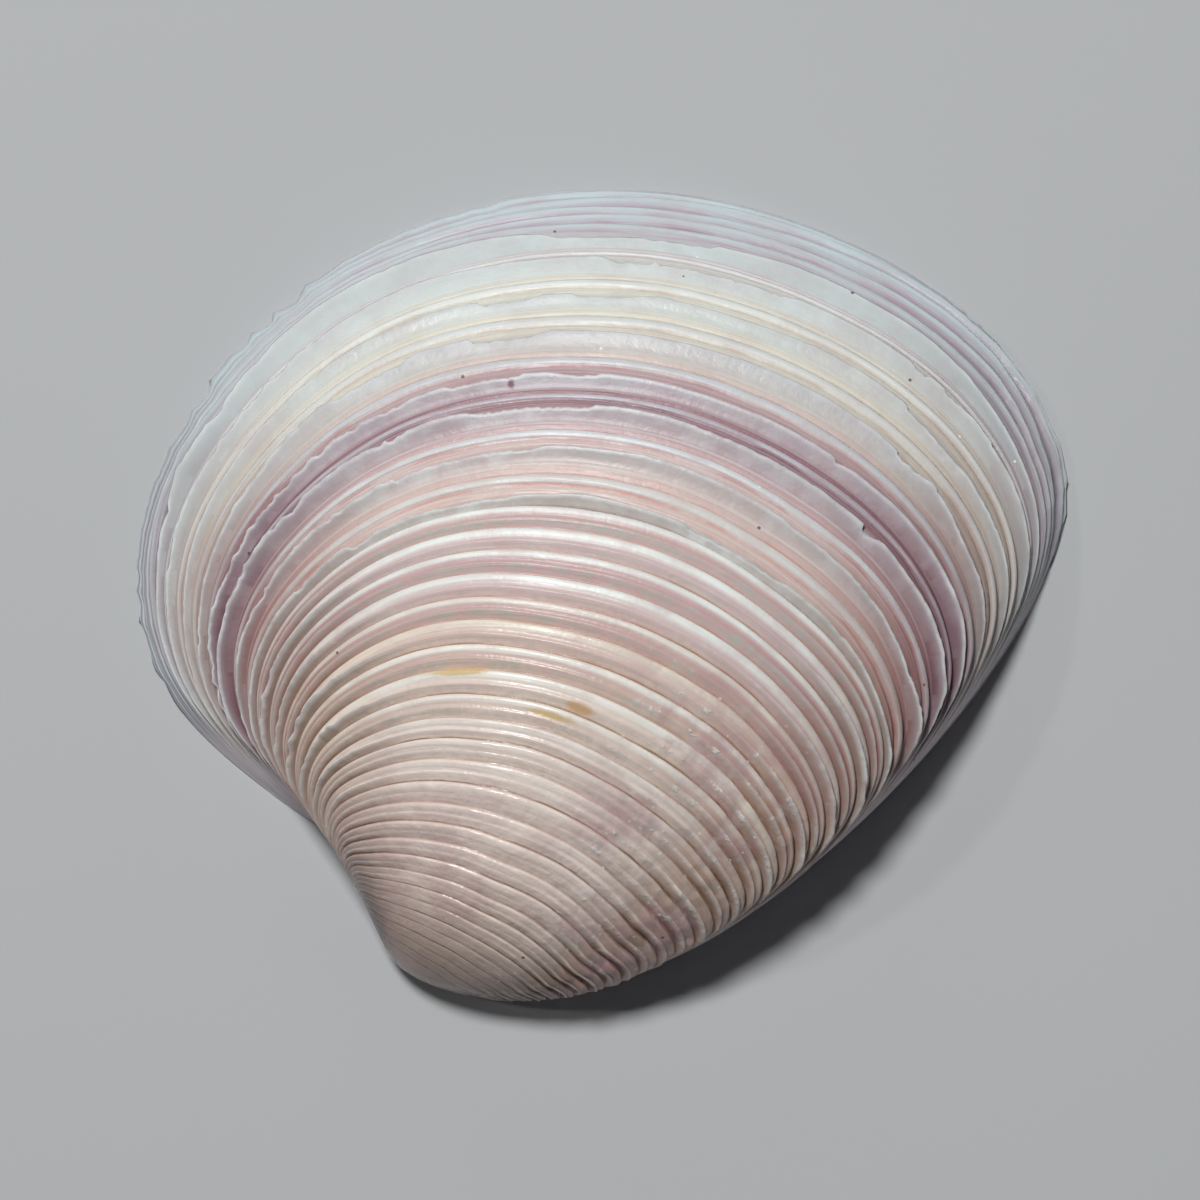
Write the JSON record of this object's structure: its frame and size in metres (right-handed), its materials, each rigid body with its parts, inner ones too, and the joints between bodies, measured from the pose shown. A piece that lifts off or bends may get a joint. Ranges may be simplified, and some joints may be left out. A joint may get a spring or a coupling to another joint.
{
  "type": "venus clam shell valve",
  "caption": "Single right valve of a venus clam: a thick domed shell with raised growth lamellae outside and a smooth cavity with a toothed hinge plate inside.",
  "frame": {"origin": "centre of the bounding box at the level of the rim that the valve lies on", "axes": "+X along the hinge towards the rear of the clam, +Y from the hinge towards the belly edge, +Z out of the domed side"},
  "size_m": [0.0458, 0.0402, 0.0122],
  "materials": {
    "shell": "satin"
  },
  "bodies": {
    "root": {"right_valve": "shell"}
  },
  "joints": []
}
